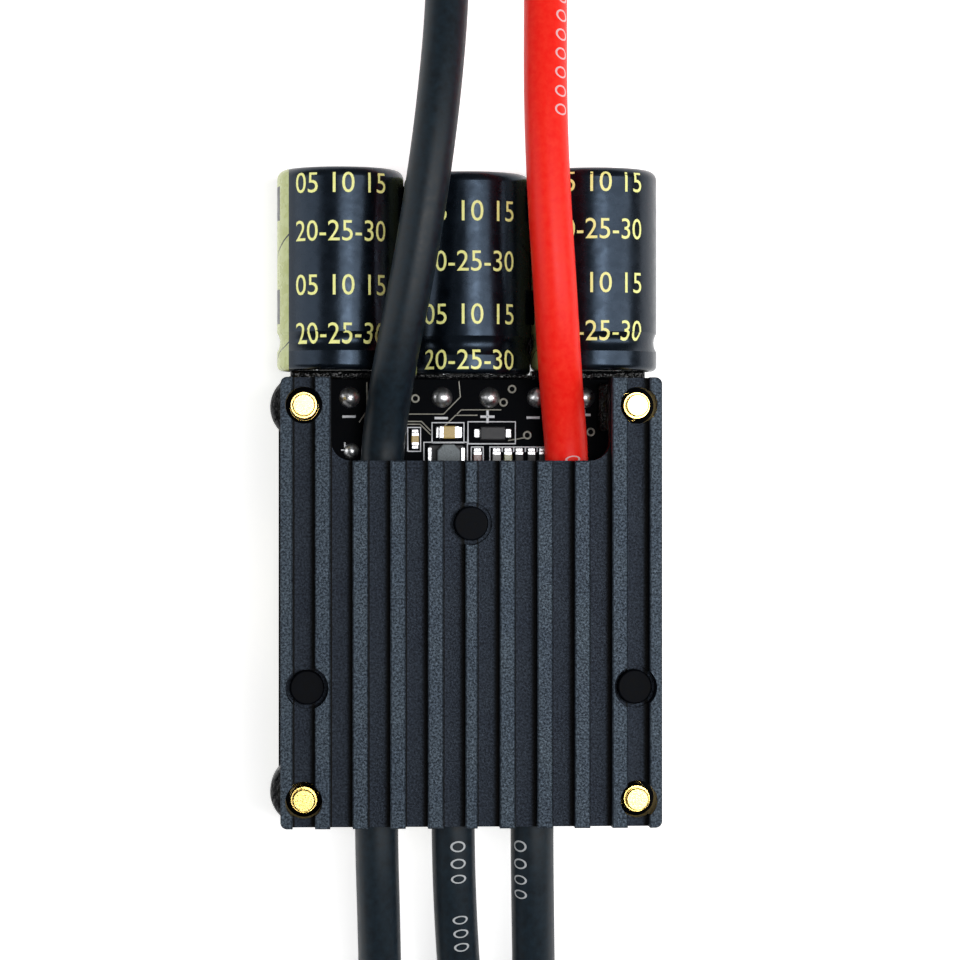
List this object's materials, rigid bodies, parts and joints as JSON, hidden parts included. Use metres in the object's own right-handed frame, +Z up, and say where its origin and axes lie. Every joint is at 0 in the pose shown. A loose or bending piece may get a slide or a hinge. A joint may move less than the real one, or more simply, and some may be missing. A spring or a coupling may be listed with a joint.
{
  "type": "electronic speed controller",
  "caption": "Electronic speed controller with a finned heat sink, can capacitors at one end, red and black battery leads, and motor leads ending in bullet sockets.",
  "frame": {"origin": "middle of the footprint, without the free leads, on the underside of the base plate", "axes": "+Z up out of the heat sink's fins, +Y towards the capacitors and the battery leads, +X to the right seen from above"},
  "size_m": [0.0415, 0.276, 0.0199],
  "materials": {
    "black_anodised_aluminium": "sand-blasted and black anodised",
    "circuit_board": "black solder mask on glass epoxy",
    "brass": "turned, bright",
    "black_rubber": "moulded, matt",
    "black_nylon": "moulded, satin",
    "black_epoxy": "moulded, matt",
    "grey_silicone": "soft sheet",
    "can_aluminium": "drawn, satin",
    "black_vinyl_sleeve": "shrunk glossy sleeve",
    "tinned_copper": "bright solder",
    "nickel_steel": "nickel plated",
    "grey_ferrite": "ground",
    "tan_ceramic": "fired",
    "led_lens": "moulded clear resin",
    "black_adhesive": "glossy, cured",
    "white_nylon": "moulded",
    "gold_plate": "gold plated",
    "red_silicone": "extruded, satin",
    "black_silicone": "extruded, satin",
    "black_shrink": "shrunk polyolefin tube"
  },
  "bodies": {
    "root": {"adhesive_bead": "black_adhesive", "base_plate": "circuit_board", "battery_lead_negative": "black_silicone", "battery_lead_positive": "red_silicone", "battery_tip_negative": "tinned_copper", "battery_tip_positive": "tinned_copper", "board_solder_joints": "tinned_copper", "capacitor_adhesive": "black_adhesive", "capacitor_bung_left": "black_rubber", "capacitor_bung_middle": "black_rubber", "capacitor_bung_right": "black_rubber", "capacitor_can_left": "can_aluminium", "capacitor_can_middle": "can_aluminium", "capacitor_can_right": "can_aluminium", "capacitor_leads_left": "tinned_copper", "capacitor_leads_middle": "tinned_copper", "capacitor_leads_right": "tinned_copper", "capacitor_sleeve_left": "black_vinyl_sleeve", "capacitor_sleeve_middle": "black_vinyl_sleeve", "capacitor_sleeve_right": "black_vinyl_sleeve", "ceramic_capacitors": "tan_ceramic", "control_socket": "white_nylon", "control_socket_contacts": "gold_plate", "corner_posts": "brass", "corner_spacers": "black_rubber", "crystal": "nickel_steel", "data_socket": "white_nylon", "data_socket_contacts": "gold_plate", "flyback_diode": "black_epoxy", "gate_driver": "black_epoxy", "heat_sink": "black_anodised_aluminium", "heat_sink_rivets": "black_nylon", "lead_solder_joints": "tinned_copper", "main_board": "circuit_board", "microcontroller": "black_epoxy", "mosfet_1": "black_epoxy", "mosfet_2": "black_epoxy", "mosfet_3": "black_epoxy", "mosfet_4": "black_epoxy", "mosfet_5": "black_epoxy", "mosfet_6": "black_epoxy", "motor_bullet_a": "gold_plate", "motor_bullet_b": "gold_plate", "motor_bullet_c": "gold_plate", "motor_lead_a": "black_silicone", "motor_lead_b": "black_silicone", "motor_lead_c": "black_silicone", "motor_shrink_a": "black_shrink", "motor_shrink_b": "black_shrink", "motor_shrink_c": "black_shrink", "power_inductor": "grey_ferrite", "sensor_socket": "white_nylon", "sensor_socket_contacts": "gold_plate", "shunt_resistors": "black_epoxy", "small_resistors": "black_epoxy", "status_leds": "led_lens", "thermal_pad": "grey_silicone", "usb_shell": "nickel_steel", "usb_tongue": "black_nylon", "voltage_regulator": "black_epoxy"}
  },
  "joints": []
}
